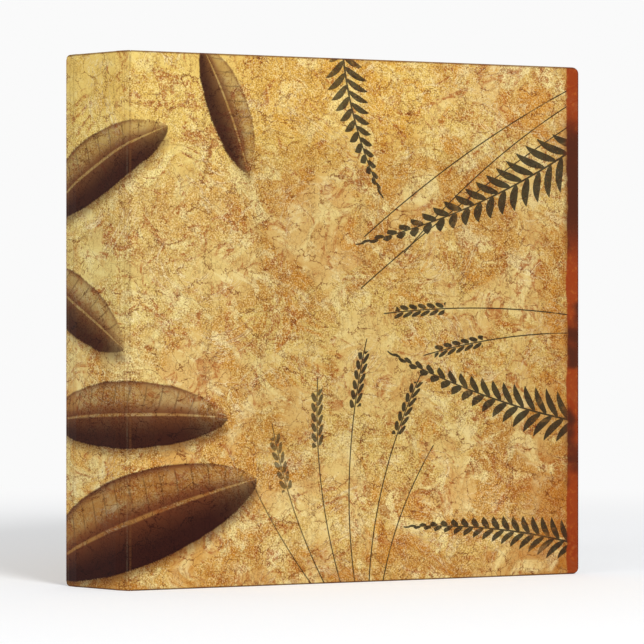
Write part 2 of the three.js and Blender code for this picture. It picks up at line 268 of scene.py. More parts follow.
def turned(x, y, at, angle):
    """Distances along and across a line that starts at a point and runs at an angle."""
    c, s = math.cos(math.radians(angle)), math.sin(math.radians(angle))
    dx, dy = x - at[0], y - at[1]
    return dx * c + dy * s, dy * c - dx * s


def finish_with(sheet, relief, strength, deep, **values):
    """A plain shader with a relief; strength and deep set how much the relief shows."""
    bump = sheet.add("ShaderNodeBump", None, Strength=strength, Distance=deep, Height=relief)
    normal = Paint(sheet, bump.outputs[0])
    shader = sheet.add("ShaderNodeBsdfPrincipled", None, Normal=normal, **values)
    sheet.add("ShaderNodeOutputMaterial", None, i0=Paint(sheet, shader.outputs[0]))
    return sheet.material


print("pattern helpers ready")

# %% [markdown]
# ## Motifs of the print: shaded leaves, fern sprays and grass stalks
#
# The sheet is decorated with pressed plants: big brown leaves at its left, and fern sprays and
# grasses in dark ink over its right. A leaf is a lens-shaped mask round a midrib, darker on one
# half. A spray is a bent stem with a row of leaflets, and one formula draws them all: the distance
# along the stem is wrapped into equal cells, and each cell holds one leaflet on either side.

# %% A broad leaf, a fern spray, a grass stalk and an ear


def bent(x, y, at, angle, length, bend):
    """Distances along and beside a line that bows by bend over its length."""
    along, side = turned(x, y, at, angle)
    return along, side - along * along * (bend / length**2)


def broad_leaf(x, y, at, angle, length, width, rough, soft=1.3):
    """A mask with a soft rim, and the places along the leaf and across it, from -1 to 1."""
    along, side = turned(x, y, at, angle)
    along, side = along / length, side + along * along * (0.12 / length)
    reach = (along * (1.0 - along)).most(0.0) ** 0.62 * (width * 2.3)
    inside = (reach - abs(side) + rough * 1.2).step(0.0, soft)
    across = side / (reach + 0.5)
    return inside, along, across


def fern_spray(x, y, at, angle, length, bend, leaflet, spacing, rough):
    """A bent stem with a row of curved leaflets on either side, shorter towards the tip."""
    along, side = bent(x, y, at, angle, length, bend)
    part = (along / length).maths("ADD", 0.0, clamp=True)
    on_stem = along.step(-0.3, 0.3) * along.step(length + 0.3, length - 0.3)
    stem = (abs(side) - part * -0.30 + rough * 0.2).step(0.80, 0.45) * on_stem
    reach = (1.0 - part) * leaflet * (part.step(0.0, 0.22) * 0.5 + 0.5) + 0.6
    t = abs(side) / reach
    ahead = side.maths("SIGN") * (spacing * 0.25)
    slid = (along + ahead - abs(side) * 0.95 + t * t * reach * 0.30) / spacing
    middle = (slid.wrap() - 0.5) * spacing
    bulge = (t ** 0.55 * (1.0 - t)).most(0.0) * (0.98 * spacing)
    leaf = (bulge - abs(middle) + rough * 0.35).step(-0.05, 0.25) * t.step(1.0, 0.97)
    return stem.most(leaf * on_stem)


def fine_stalk(x, y, at, angle, length, bend):
    along, side = bent(x, y, at, angle, length, bend)
    on = along.step(0.0, 1.0) * along.step(length, length - 1.0)
    return abs(side).step(0.50, 0.23) * on


EAR = 30.0
GRAIN_SPACING = 5.4
GRAIN_LONG = 3.1
GRAIN_WIDE = 1.25
GRAIN_LEAN = math.radians(24)
AWN = 8.0


def wheat_ear(x, y, at, angle, length, bend):
    """A fine stalk with two rows of grains at its end, one row half a grain ahead of the other."""
    along, side = bent(x, y, at, angle, length, bend)
    ahead = side.maths("SIGN") * (GRAIN_SPACING * 0.25)
    cell = (((along + ahead) / GRAIN_SPACING).wrap() - 0.5) * GRAIN_SPACING
    out = abs(side) - 2.1
    c, s = math.cos(GRAIN_LEAN), math.sin(GRAIN_LEAN)
    long = (cell * c + out * s) / GRAIN_LONG
    wide = (out * c - cell * s) / GRAIN_WIDE
    grains = (long * long + wide * wide).step(1.15, 0.80)
    first = length - EAR
    grains = grains * along.step(first, first + 0.3) * along.step(length + 1, length)
    whole = length + AWN
    return grains.most(fine_stalk(x, y, at, angle, whole, bend * (whole / length) ** 2))


print("motif helpers ready")

# %% [markdown]
# ## The printed sheet
#
# Old parchment is built up in the order in which it would age: a golden ground that is grainy in
# some places and rubbed smooth in others, rust stains, pale creases, faint worn marks, a brown
# haze, the leaves, a fine crackle, the ink, and last the burnt band down the fore-edge. Each is
# one colour laid over the others through a mask, so its order is the order of the lines. Over it
# all lies a satin laminate with a slight ripple, which gives the cover a soft sheen, no mirror.

# %% Colours of the print, as linear red, green and blue
GOLD = (0.600, 0.320, 0.062)
STRAW = (0.700, 0.480, 0.130)
AMBER = (0.600, 0.255, 0.022)
CREAM = (0.850, 0.690, 0.280)
BUFF = (0.760, 0.560, 0.235)
LEMON = (0.720, 0.640, 0.220)
SUNNY = (0.900, 0.585, 0.075)
TAWNY = (0.640, 0.270, 0.022)
RUST = (0.370, 0.085, 0.008)
PALE_FLAKE = (0.830, 0.670, 0.320)
DARK_FLAKE = (0.430, 0.155, 0.018)
PALE_MOTTLE = (0.860, 0.700, 0.340)
DARK_MOTTLE = (0.360, 0.150, 0.026)
PALE_GRAIN = (0.950, 0.820, 0.470)
DARK_GRAIN = (0.420, 0.250, 0.200)
PALE_CREASE = (0.900, 0.770, 0.440)
DARK_CREASE = (0.300, 0.110, 0.040)
CRACK = (0.300, 0.140, 0.080)
HAZE = (0.400, 0.130, 0.012)
FOOT_HAZE = (0.420, 0.150, 0.014)
LEAF_SHADOW = (0.085, 0.022, 0.008)
LEAF_DARK = (0.022, 0.003, 0.002)
LEAF_BROWN = (0.165, 0.042, 0.013)
INK = (0.014, 0.012, 0.007)
BAND_RED = (0.275, 0.035, 0.004)
BAND_FLECK = (0.430, 0.105, 0.014)
BAND_DARK = (0.022, 0.002, 0.003)
BAND_SCORCH = (0.100, 0.024, 0.007)
RIM = (0.050, 0.008, 0.004)
TOP_LINE = (0.110, 0.035, 0.010)
# The next three colours are painted light at the folds: crease shade, scored-line shade, a
# highlight.
FOLD_SHADE = (0.160, 0.060, 0.018)
SCORE_SHADE = (0.550, 0.400, 0.300)
FOLD_HIGHLIGHT = (0.900, 0.760, 0.460)
WORN = (0.340, 0.210, 0.130)
print("colours named")

# %% Parchment ground


def parchment(sheet, x, y):
    """The ground colour, with the patterns that later steps use again."""
    where = point(sheet, x, y)
    calm = noise(sheet, point(sheet, x + 388.0, y + 150.0), 0.024, 3.0, 0.60, 0.6)
    calm = calm.step(0.48, 0.60)
    grain = (noise(sheet, where, 1.15, 3.0, 0.62) - 0.5) * (1.0 - calm * 0.62) + 0.5
    patch = noise(sheet, where, 0.013, 4.0, 0.55, 0.8)
    cloud = noise(sheet, point(sheet, x + 917.0, y), 0.036, 6.0, 0.66, 1.0)
    colour = flat_colour(sheet, GOLD)
    colour = colour.over(STRAW, patch.step(0.40, 0.56))
    colour = colour.over(AMBER, cloud.step(0.53, 0.64) * 0.85)
    colour = colour.over(CREAM, cloud.step(0.47, 0.35) * 0.85)
    colour = colour.over(BUFF, calm * 0.50)
    return colour, where, grain, cloud, calm


def stains(sheet, colour, x, y, where, grain, cloud, calm):
    """Rust and pale flakes with crisp edges, like paint that came off in places."""
    pushed = point(sheet, x + cloud * 30.0, y - cloud * 18.0 + 431.0)
    flake = noise(sheet, pushed, 0.085, 9.0, 0.72, 0.5)
    rust = noise(sheet, point(sheet, x, y + 1340.0), 0.050, 8.0, 0.74, 1.4)
    mottle = (noise(sheet, where, 0.32, 5.0, 0.70, 0.6) - 0.5) * (1.0 - calm * 0.55) + 0.5
    colour = colour.over(PALE_FLAKE, flake.step(0.46, 0.37) * 0.70)
    colour = colour.over(DARK_FLAKE, flake.step(0.54, 0.61) * (0.62 - calm * 0.30))
    near_spine = abs(x).step(120.0, 50.0)
    colour = colour.over(LEMON, near_spine * y.step(90.0, 160.0) * 0.32)
    low = near_spine * y.step(130.0, 50.0)
    colour = colour.over(TAWNY, low * cloud.step(0.36, 0.54) * 0.55)
    high = y.step(210.0, 265.0) * abs(x).step(240.0, 180.0)
    colour = colour.over(SUNNY, high * 0.32)
    burnt = rust.step(0.53, 0.60) * mottle.step(0.40, 0.56)
    colour = colour.over(RUST, burnt * 0.78)
    colour = colour.over(DARK_MOTTLE, mottle.step(0.53, 0.64) * 0.45)
    colour = colour.over(PALE_MOTTLE, mottle.step(0.44, 0.34) * 0.45)
    return colour.over(PALE_GRAIN, grain.step(0.46, 0.32) * 0.50)


def creases(sheet, colour, x, y, grain):
    """Thin pale lines where the sheet was crumpled once, each with a dark line beside it."""
    folded = noise(sheet, point(sheet, x * 0.8 - 266.0, y + 97.0), 0.020, 7.0, 0.60, 1.2)
    folded = folded + (grain - 0.5) * 0.008
    seen = noise(sheet, point(sheet, x + 71.0, y - 640.0), 0.030, 3.0, 0.55)
    pale = abs(folded - 0.515).step(0.0085, 0.0015)
    pale = pale.most(abs(folded - 0.440).step(0.0070, 0.0015))
    dark = abs(folded - 0.506).step(0.0040, 0.0008)
    dark = dark.most(abs(folded - 0.433).step(0.0035, 0.0008))
    colour = colour.over(PALE_CREASE, pale * seen.step(0.44, 0.56) * 0.60)
    return colour.over(DARK_CREASE, dark * seen.step(0.46, 0.60) * 0.60)


def crackle(sheet, colour, x, y, grain, cloud):
    """Fine broken lines and a grain that lie over everything printed."""
    wave = noise(sheet, point(sheet, x - 733.0, y), 0.09, 5.0, 0.65)
    web = cracks(sheet, point(sheet, x + wave * 26.0 + grain * 2.5, y + cloud * 22.0), 0.085)
    fine = cracks(sheet, point(sheet, x + grain * 4.0, y + wave * 18.0), 0.33)
    seen = wave.step(0.42, 0.58)
    lines = web.step(0.046, 0.010) * (seen * 0.72 + 0.20)
    lines = lines.most(fine.step(0.080, 0.010) * (1.0 - seen) * 0.55)
    colour = colour.over(CRACK, lines, "MULTIPLY")
    return colour.over(DARK_GRAIN, grain.step(0.53, 0.66) * 0.72, "MULTIPLY")


COLUMN = 31.0


def worn_marks(sheet, x, y):
    """Faint upright columns of curls, broken off here and there."""
    curls = noise(sheet, point(sheet, x + 85.0, y * 0.8), 0.50, 2.0, 0.45)
    slot = (x + 9.0) / COLUMN
    wide = specks(sheet, slot.floor(), 3.0)
    in_column = (abs(slot.wrap() - 0.5) - wide * 0.045).step(0.055, 0.045)
    length = specks(sheet, slot.floor(), (y / (7.0 + wide * 6.0)).floor(), 5.0)
    return abs(curls - 0.5).step(0.050, 0.018) * in_column * length.step(0.34, 0.40)


print("ground helpers ready")

# %% Leaves: foot of the midrib, angle, length, width and strength of each
LEAVES = (
    ((-44.0, 8.0), 27.0, 150.0, 27.0, 1.0),
    ((-38.0, 92.0), 8.0, 118.0, 20.0, 0.95),
    ((-52.0, 176.0), -24.0, 84.0, 17.0, 0.90),
    ((-46.0, 205.0), 36.0, 104.0, 18.0, 0.95),
    ((66.0, 300.0), -62.0, 74.0, 13.0, 0.90),
)


def leaves(colour, x, y, grain, cloud):
    rough = (grain - 0.5) * 1.2 + (cloud - 0.5) * 2.0
    for at, angle, length, width, strength in LEAVES:
        below = (at[0] + 1.5, at[1] - 7.0)
        cast = broad_leaf(x, y, below, angle, length * 1.01, width, rough, 8.0)[0]
        inside, along, across = broad_leaf(x, y, at, angle, length, width, rough)
        colour = colour.over(LEAF_SHADOW, cast * (1.0 - inside) * 0.75 * strength)
        slope = (along * (length / 9.0) - abs(across) * 1.1 + across * across * 0.35).wrap()
        vein = abs(slope - 0.5).step(0.08, 0.02) * abs(across).step(0.95, 0.75)
        rib = abs(across).step(0.065, 0.020)
        hollow = across.step(0.05, 0.55) * across.step(0.98, 0.70)
        deep = across.step(0.45, -0.70) * (1.0 - rib * 0.7)
        faded = strength * (1.0 - along.step(0.75, 1.05) * 0.30)
        colour = colour.over(LEAF_BROWN, inside * faded * (0.97 - hollow * 0.42 - rib * 0.35))
        colour = colour.over(LEAF_DARK, inside * deep * faded * 0.95)
        colour = colour.over(LEAF_DARK, inside * vein * (0.14 + hollow * 0.26))
        colour = colour.over(LEAF_DARK, inside * abs(across).step(0.82, 1.0) * 0.60)
    return colour


print(len(LEAVES), "leaves planned")

# %% Ink: foot of each stem, angle, length and bend, and a spray's leaflet length and spacing
SPRAYS = (
    ((304.0, 254.0), 214.0, 156.0, -30.0, 22.0, 8.4),
    ((306.0, 88.0), 170.0, 134.0, -20.0, 19.0, 7.6),
    ((304.0, 16.0), 164.0, 116.0, 18.0, 15.0, 6.6),
    ((150.0, 300.0), 276.0, 84.0, 16.0, 16.0, 6.8),
)
EARS = (
    ((158.0, -4.0), 99.0, 132.0, -26.0),
    ((150.0, -4.0), 108.0, 112.0, -20.0),
    ((166.0, -4.0), 88.0, 118.0, -26.0),
    ((141.0, -4.0), 119.0, 92.0, -14.0),
    ((306.0, 150.0), 171.0, 122.0, 16.0),
    ((306.0, 141.0), 178.0, 98.0, 14.0),
)
STALKS = (
    ((306.0, 290.0), 206.0, 170.0, 22.0),
    ((306.0, 282.0), 209.0, 150.0, 26.0),
    ((306.0, 270.0), 211.0, 178.0, 14.0),
    ((174.0, -4.0), 80.0, 86.0, -18.0),
    ((134.0, -4.0), 128.0, 74.0, -8.0),
)


def ink_drawing(x, y, grain, cloud):
    rough = (grain - 0.5) * 1.4
    drawn = [fern_spray(x, y, *spray, rough) for spray in SPRAYS]
    drawn += [wheat_ear(x, y, *ear) for ear in EARS]
    drawn += [fine_stalk(x, y, *stalk) for stalk in STALKS]
    ink = drawn[0]
    for part in drawn[1:]:
        ink = ink.most(part)
    kept = 0.93 - grain.step(0.56, 0.70) * 0.45
    faded = 1.0 - x.step(170.0, 50.0) * 0.50 - cloud.step(0.56, 0.72) * 0.35
    return ink * kept * faded


print(len(SPRAYS) + len(EARS) + len(STALKS), "stems planned")

# %% Haze, burnt fore-edge, dark rim, and painted shade and highlight at the folds
SCORES = ((20.6, 0.45), (17.4, 0.40))  # beside the fold: distance along the sheet, half width
HIGHLIGHT_RUN = 22.3


def smoke(colour, x, y, cloud):
    """A duller middle, and brown haze towards the fore-edge and the foot."""
    middle = abs(x).step(72.0, 108.0) * y.step(40.0, 90.0) * y.step(278.0, 236.0)
    colour = colour.over((0.880, 0.865, 0.810), middle, "MULTIPLY")
    low = y.step(190.0, 20.0)
    haze = abs(x).step(236.0, 296.0) * (low * 0.60 + 0.15)
    haze = haze.most(abs(x).step(282.0, 294.0) * 0.65)
    colour = colour.over(HAZE, haze * cloud.step(0.28, 0.56))
    return colour.over(FOOT_HAZE, y.step(30.0, 4.0) * cloud.step(0.42, 0.58) * 0.45)


def edges(sheet, colour, x, y, grain):
    """The burnt band, the dark rim of the sheet, and painted shade and highlight at the folds."""
    bite = noise(sheet, point(sheet, x + 260.0, y), 0.020, 3.0, 0.55)
    tear = noise(sheet, point(sheet, x, y), 0.30, 4.0, 0.62)
    reach = abs(x) - (bite - 0.5) * 5.0 - (tear - 0.5) * 1.6
    band = reach.step(FORE_EDGE - 8.4, FORE_EDGE - 7.2)
    colour = colour.over(BAND_RED, band * 0.95)
    colour = colour.over(BAND_FLECK, band * tear.step(0.54, 0.72) * 0.50)
    burnt = y.step(178.0, 214.0) * y.step(276.0, 250.0)
    dark = bite.step(0.46, 0.60).most(burnt * bite.step(0.34, 0.44))
    dark = dark * (0.88 + grain.step(0.44, 0.56) * 0.12)
    colour = colour.over(BAND_DARK, band * dark)
    scorched = reach.step(FORE_EDGE - 11.5, FORE_EDGE - 8.0)
    colour = colour.over(BAND_SCORCH, scorched * dark * 0.60)
    rim = (abs(x) + (tear - 0.5) * 0.5).step(FORE_EDGE - 1.4, FORE_EDGE - 0.6)
    colour = colour.over(RIM, rim * 0.65)
    top = (y + (tear - 0.5) * 0.8).step(height / MM - 1.5, height / MM - 0.5)
    foot = y.step(1.2, 0.3)
    colour = colour.over(TOP_LINE, top.most(foot) * 0.75)
    # Painted shade: a broken dark line along each fold, where the crease would lie in shade.
    fold = abs(abs(x) - FOLD_RUN).step(0.70, 0.10) * grain.step(0.35, 0.55)
    colour = colour.over(FOLD_SHADE, fold * 0.38)
    # Painted shade: two scored lines beside each fold, darkened as if in shade in their grooves.
    lines = [abs(abs(x) - run).step(half, 0.10) for run, half in SCORES]
    colour = colour.over(SCORE_SHADE, lines[0].most(lines[1]) * 0.35, "MULTIPLY")
    # Painted highlight: a faint broken pale line on the strip beside each fold, where the bend
    # catches light.
    highlight_mask = abs(abs(x) - HIGHLIGHT_RUN).step(0.60, 0.15) * grain.step(0.38, 0.58)
    return colour.over(FOLD_HIGHLIGHT, highlight_mask * 0.05)


def printed_sheet():
    sheet = Sheet("printed_sheet")
    x, y = unrolled(sheet)
    colour, where, grain, cloud, calm = parchment(sheet, x, y)
    colour = stains(sheet, colour, x, y, where, grain, cloud, calm)
    colour = creases(sheet, colour, x, y, grain)
    worn = worn_marks(sheet, x, y) * grain.step(0.30, 0.50)
    colour = colour.over(WORN, worn * 0.62, "MULTIPLY")
    colour = smoke(colour, x, y, cloud)
    colour = leaves(colour, x, y, grain, cloud)
    colour = crackle(sheet, colour, x, y, grain, cloud)
    colour = colour.over(INK, ink_drawing(x, y, grain, cloud))
    colour = edges(sheet, colour, x, y, grain)
    ripple = noise(sheet, where, 0.035, 2.0, 0.5)
    tooth = noise(sheet, where, 1.6, 3.0, 0.6)
    return finish_with(
        sheet,
        ripple + tooth * 0.05,
        0.10,
        0.0006,
        Base_Color=colour,
        Roughness=0.40 + grain * 0.12,
        Specular_IOR_Level=0.09,
    )


print_finish = printed_sheet()
print("printed sheet uses", len(print_finish.node_tree.nodes), "nodes")

# %% [markdown]
# ## The case's skin
#
# The wrap is one sheet folded round three boards. A rigid model can't fold, so the CAD cuts it into
# panels and strips. Here each half of the case is one continuous skin: a row of cross-sections is
# set out from the middle of the spine, over the flexible strip, round the fold and out to the
# fore-edge, and neighbouring sections are joined. Sections sit close together at the fold, where
# the skin has to bend when the cover opens. Each section is a thin loop with rounded top and
# bottom, because paper turned over a board never makes a sharp edge.

# %% Sizes of the skin, in millimetres
PROUD = 0.6  # outer face to the fold line
BOARD_DEPTH = 3.0
STRIP_DEPTH = 0.65
EDGE_ROUND = 1.15
COVER_END = FORE_EDGE - FOLD_RUN
FORE_CORNER = 4.0
HALF_SPINE = 14.5
STRIP_LENGTH = 9.2
STRIP_TILT = 10.0
STRIP_START = 14.8
FOLD_STEPS = 9
SPINE_STOPS = (0.0, 6.0, 11.0, 13.4, 14.2)
STRIP_STOPS = (0.35, 0.8, 3.0, 5.2, 6.2, 7.0, 7.6, 8.1, 8.5, 8.8, 9.0)
NEAR_FOLD = (0.2, 0.4, 0.6, 0.8, 0.95, 1.3, 1.7, 2.2, 2.8, 3.5, 4.6)
COVER_STOPS = (12.0, 40.0, 75.0, 110.0, 145.0, 180.0, 215.0, 245.0, 262.0)
tall = height / MM
spine_plane = cad_box[0].x / MM
spine_middle = (front_fold.y + back_fold.y) / 2 / MM


def heading(angle):
    return Vector((math.cos(math.radians(angle)), math.sin(math.radians(angle))))


print("spine's outer plane", round(spine_plane, 2), "middle", round(spine_middle, 2))

# %% Cross-sections from the spine's middle to the fore-edge


def ease(value, low, high):
    t = min(max((value - low) / (high - low), 0.0), 1.0)
    return t * t * (3 - 2 * t)


def sections(swing, hinge_corner):
    """Places along one half: point, outward normal, depth, run along the sheet, inset, dip.

    The inset is the distance to the fore-edge, where the skin is rounded. The dip is how far the
    top and bottom are lowered, round a corner of the board or of the gap at the fold.
    """
    rows = []
    strip_angle = 90 - STRIP_TILT

    def row(place, angle, depth, run, inset=EDGE_ROUND, dip=0.0):
        way = heading(angle)
        rows.append((place, Vector((-way.y, way.x)), depth, run, inset, dip))

    def dip_at(distance):
        if distance >= hinge_corner:
            return 0.0
        return hinge_corner - math.sqrt(hinge_corner**2 - (hinge_corner - distance) ** 2)

    for across in SPINE_STOPS:
        row(Vector((PROUD, across)), 90, BOARD_DEPTH, across)
    row(Vector((PROUD, HALF_SPINE)), 88, BOARD_DEPTH * 0.86, HALF_SPINE)
    start = Vector((PROUD, STRIP_START))
    row(start, 85, 1.5, STRIP_START)
    way = heading(strip_angle)
    for distance in STRIP_STOPS:
        depth = STRIP_DEPTH + 0.55 * (1 - ease(distance, 0.2, 1.2))
        dip = dip_at(STRIP_LENGTH + PROUD - distance)
        row(start + way * distance, strip_angle, depth, STRIP_START + distance, dip=dip)
    fold = start + way * STRIP_LENGTH
    for i in range(FOLD_STEPS):
        angle = strip_angle + (swing - strip_angle) * i / (FOLD_STEPS - 1)
        row(fold, angle, STRIP_DEPTH, FOLD_RUN + (i - 4) * 0.02, dip=dip_at(0.12))
    out = heading(swing)
    for distance in NEAR_FOLD:
        depth = STRIP_DEPTH + (BOARD_DEPTH - STRIP_DEPTH) * ease(distance, 0.35, 1.25)
        dip = dip_at(distance + 0.1)
        row(fold + out * distance, swing, depth, FOLD_RUN + distance, dip=dip)
    for distance in COVER_STOPS:
        row(fold + out * distance, swing, BOARD_DEPTH, FOLD_RUN + distance)
    for degrees in range(0, 91, 5):
        angle = math.radians(degrees)
        distance = COVER_END - FORE_CORNER + FORE_CORNER * math.sin(angle)
        inset = COVER_END - distance
        dip = FORE_CORNER - FORE_CORNER * math.cos(angle)
        row(fold + out * distance, swing, BOARD_DEPTH, FOLD_RUN + distance, inset, dip)
    return rows


print(len(sections(0.0, 1.0)), "sections in each half")

# %% One section as a closed loop of points
HEIGHTS = (5.0, 20.0, 50.0, 85.0, 120.0, 148.5, 177.0, 212.0, 247.0, 277.0, 292.0)
QUARTER = [math.radians(18 * k) for k in range(1, 6)]  # a rounded corner in five steps


def loop_points(depth, inset, dip):
    """One section as (depth from the outer face, height) points, anticlockwise."""
    pull = 0.0
    if inset < EDGE_ROUND:
        pull = EDGE_ROUND - math.sqrt(EDGE_ROUND**2 - (EDGE_ROUND - inset) ** 2)
    near, far = pull, depth - pull
    bend = min(EDGE_ROUND, 0.46 * (far - near))
    low, high = dip, tall - dip
    column = [low + bend] + [min(max(z, low + bend), high - bend) for z in HEIGHTS] + [high - bend]
    arc = [(bend - bend * math.cos(a), bend - bend * math.sin(a)) for a in QUARTER]
    back_arc = [(b, a) for a, b in arc]
    points = [(near, z) for z in column]
    points += [(near + a, high - b) for a, b in arc]
    points += [(far - a, high - b) for a, b in back_arc]
    points += [(far, z) for z in reversed(column)]
    points += [(far - a, low + b) for a, b in arc]
    points += [(near + a, low + b) for a, b in back_arc]
    return points, near, far


print(len(loop_points(BOARD_DEPTH, 5.0, 0.0)[0]), "points round a section")

# %% Join the sections into a skin
LINED_FROM = 14.2  # along the sheet, where the inner side shows liner paper
LINED_TO = FOLD_RUN + 6.2


def case_skin(name, side, swing, hinge_corner, finishes):
    """One half of the case. The inner side of its strip carries the liner's paper."""
    verts, unrolls, faces, slots = [], [], [], []
    rows = sections(swing, hinge_corner)
    for place, normal, depth, run, inset, dip in rows:
        points, near, far = loop_points(depth, inset, dip)
        for into, z in points:
            flat = place + normal * (PROUD - into)
            y = spine_middle + side * flat.y
            verts.append(Vector((spine_plane + flat.x, y, z)) * MM)
            turn = min(into - near, far - into)
            over = turn + near
            up = z + (turn if z > tall / 2 else -turn)
            edge = over if inset < EDGE_ROUND else 0.0
            unrolls.append((-side * (run + edge) * MM, up * MM))
    count = len(points)
    first_inner = len(HEIGHTS) + 3 + 2 * len(QUARTER)
    inner = range(first_inner, first_inner + len(HEIGHTS))
    for i in range(len(rows) - 1):
        lined = LINED_FROM <= rows[i][3] < LINED_TO
        for k in range(count):
            quad = [i * count + k, i * count + (k + 1) % count]
            quad += [(i + 1) * count + (k + 1) % count, (i + 1) * count + k]
            faces.append(quad if side < 0 else quad[::-1])
            slots.append(1 if lined and k in inner and k + 1 in inner else 0)
    last = (len(rows) - 1) * count
    faces.append([last + k for k in range(count)])
    slots.append(0)
    mesh = bpy.data.meshes.new(name)
    mesh.from_pydata(verts, [], faces)
    uv = mesh.uv_layers.new(name="unrolled")
    for loop in mesh.loops:
        uv.data[loop.index].uv = unrolls[loop.vertex_index]
    for face, slot_number in zip(mesh.polygons, slots):
        face.material_index = slot_number
        face.use_smooth = True
    for finish in finishes:
        mesh.materials.append(finish)
    return settled(name, mesh)


def settled(name, mesh):
    """Makes an object, points its faces outwards and gives flat areas flat shading."""
    work = bmesh.new()
    work.from_mesh(mesh)
    bmesh.ops.remove_doubles(work, verts=work.verts, dist=1e-7)
    bmesh.ops.dissolve_degenerate(work, dist=1e-8, edges=work.edges)
    bmesh.ops.recalc_face_normals(work, faces=work.faces)
    work.to_mesh(mesh)
    work.free()
    piece = bpy.data.objects.new(name, mesh)
    bpy.context.scene.collection.objects.link(piece)
    weighted = piece.modifiers.new("flats", "WEIGHTED_NORMAL")
    weighted.mode = "FACE_AREA"
    weighted.weight = 100
    graph = bpy.context.evaluated_depsgraph_get()
    final = bpy.data.meshes.new_from_object(piece.evaluated_get(graph), depsgraph=graph)
    final.name = name
    piece.modifiers.clear()
    piece.data = final
    return piece


print("skin helpers ready")

# %% [markdown]
# ## Plain finishes
#
# Inside, the boards carry white paper liners and welded clear pockets, and the ring mechanism is
# nickel-plated steel. None of these is one flat colour: the paper has fibres and a faint handling
# tone, the vinyl has welded borders, and the metal has rolling lines along its length.

# %% Paper, board, vinyl and metal


def placed(sheet):
    """Millimetres in the object's own frame."""
    where = sheet.add("ShaderNodeTexCoord")
    parts = sheet.add("ShaderNodeSeparateXYZ", None, i0=Paint(sheet, where.outputs[3]))
    return [Wire(sheet, parts.outputs[k]) * 1000.0 for k in range(3)]


def liner_paper():
    sheet = Sheet("liner_paper")
    x, y, z = placed(sheet)
    where = point(sheet, x, y, z)
    fibre = noise(sheet, point(sheet, x * 0.6, y, z * 2.4), 0.9, 5.0, 0.7, dimensions="3D")
    tone = noise(sheet, where, 0.02, 3.0, 0.6, dimensions="3D")
    colour = flat_colour(sheet, (0.83, 0.82, 0.77))
    colour = colour.over((0.74, 0.71, 0.63), tone.step(0.45, 0.75) * 0.45)
    colour = colour.over((0.62, 0.58, 0.50), fibre.step(0.56, 0.74) * 0.22)
    return finish_with(sheet, fibre, 0.12, 0.0004, Base_Color=colour, Roughness=0.55 + fibre * 0.15)


def greyboard():
    sheet = Sheet("greyboard")
    x, y, z = placed(sheet)
    fibre = noise(sheet, point(sheet, x, y * 3.0, z), 0.8, 6.0, 0.75, dimensions="3D")
    colour = flat_colour(sheet, (0.38, 0.33, 0.27))
    colour = colour.over((0.24, 0.20, 0.16), fibre.step(0.52, 0.72) * 0.6)
    colour = colour.over((0.55, 0.50, 0.42), fibre.step(0.42, 0.28) * 0.5)
    return finish_with(sheet, fibre, 0.3, 0.0005, Base_Color=colour, Roughness=0.85 + fibre * 0.1)


POCKET_RIGHT = 267.0
POCKET_FOOT = 9.0
POCKET_TOP = 197.0
POCKET_SLANT = 151.0
RIB_PITCH = 2.6


def clear_vinyl(name, fold, swing, side, left):
    """Clear sheet, hazy where it is welded to the liner, with a painted sheen along its open mouth.
    """
    sheet = Sheet(name)
    x, y, z = placed(sheet)
    way = heading(swing)
    across = (x - fold.x / MM) * way.x + (y - fold.y / MM) * (side * way.y)
    inset = (across - left).least(POCKET_RIGHT - across).least(z - POCKET_FOOT)
    mouth = (POCKET_TOP - z).least((across - z + (POCKET_SLANT - left)) * 0.707)
    weld = inset.step(3.3, 3.0) * mouth.step(0.0, 0.4)
    ribs = abs(((across + z) / RIB_PITCH).wrap() - 0.5) * weld
    # Painted sheen: a whiter, more opaque band along the open mouth stands in for gloss.
    mouth_sheen = mouth.step(2.0, 1.6)
    cloud = noise(sheet, point(sheet, x, y, z), 0.05, 3.0, 0.6, dimensions="3D")
    colour = flat_colour(sheet, (0.90, 0.91, 0.90))
    colour = colour.over((0.82, 0.84, 0.84), cloud.step(0.4, 0.7))
    colour = colour.over((0.96, 0.96, 0.95), weld.most(mouth_sheen))
    return finish_with(
        sheet,
        cloud * 1.4 + ribs * 0.5,
        0.20,
        0.0006,
        Base_Color=colour,
        Roughness=0.12 + cloud * 0.10 + weld * 0.25,
        Alpha=0.05 + cloud * 0.03 + weld * (0.16 + ribs * 0.20) + mouth_sheen * 0.30,
        Specular_IOR_Level=0.9,
    )


def nickel(name, tone, roughness):
    """Plated steel: mirror-like, with rolling lines upwards and a slight cloudiness."""
    sheet = Sheet(name)
    x, y, z = placed(sheet)
    lines = noise(sheet, point(sheet, x * 3.0, y * 3.0, z * 0.12), 1.4, 4.0, 0.6, dimensions="3D")
    cloud = noise(sheet, point(sheet, x, y, z), 0.07, 3.0, 0.6, dimensions="3D")
    colour = flat_colour(sheet, tone)
    colour = colour.over([c * 0.82 for c in tone], cloud.step(0.45, 0.75) * 0.5)
    rough = roughness + lines.step(0.45, 0.75) * 0.10 + cloud * 0.06
    look = {"Base_Color": colour, "Metallic": 1.0, "Roughness": rough}
    return finish_with(sheet, lines, 0.05, 0.0002, **look)


liner_finish = liner_paper()
board_finish = greyboard()
nickel_finish = nickel("nickel_plate", (0.60, 0.58, 0.55), 0.13)
zinc_finish = nickel("zinc_plate", (0.50, 0.51, 0.52), 0.30)
print("plain finishes made")

# %% Build both skins, shaped round the folds as the covers stand at rest
AJAR = 29.4  # degrees, as the front cover stands at rest


front_skin = case_skin("front_skin", -1, AJAR, 0.8, (print_finish, liner_finish))
back_skin = case_skin("back_skin", 1, 0.0, 3.5, (print_finish, liner_finish))
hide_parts("spine_wrap", "front_hinge", "front_wrap")
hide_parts("back_hinge", "back_wrap")
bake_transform(front_skin)
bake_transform(back_skin)
for skin in (front_skin, back_skin):
    print(skin.name, len(skin.data.polygons), "faces")

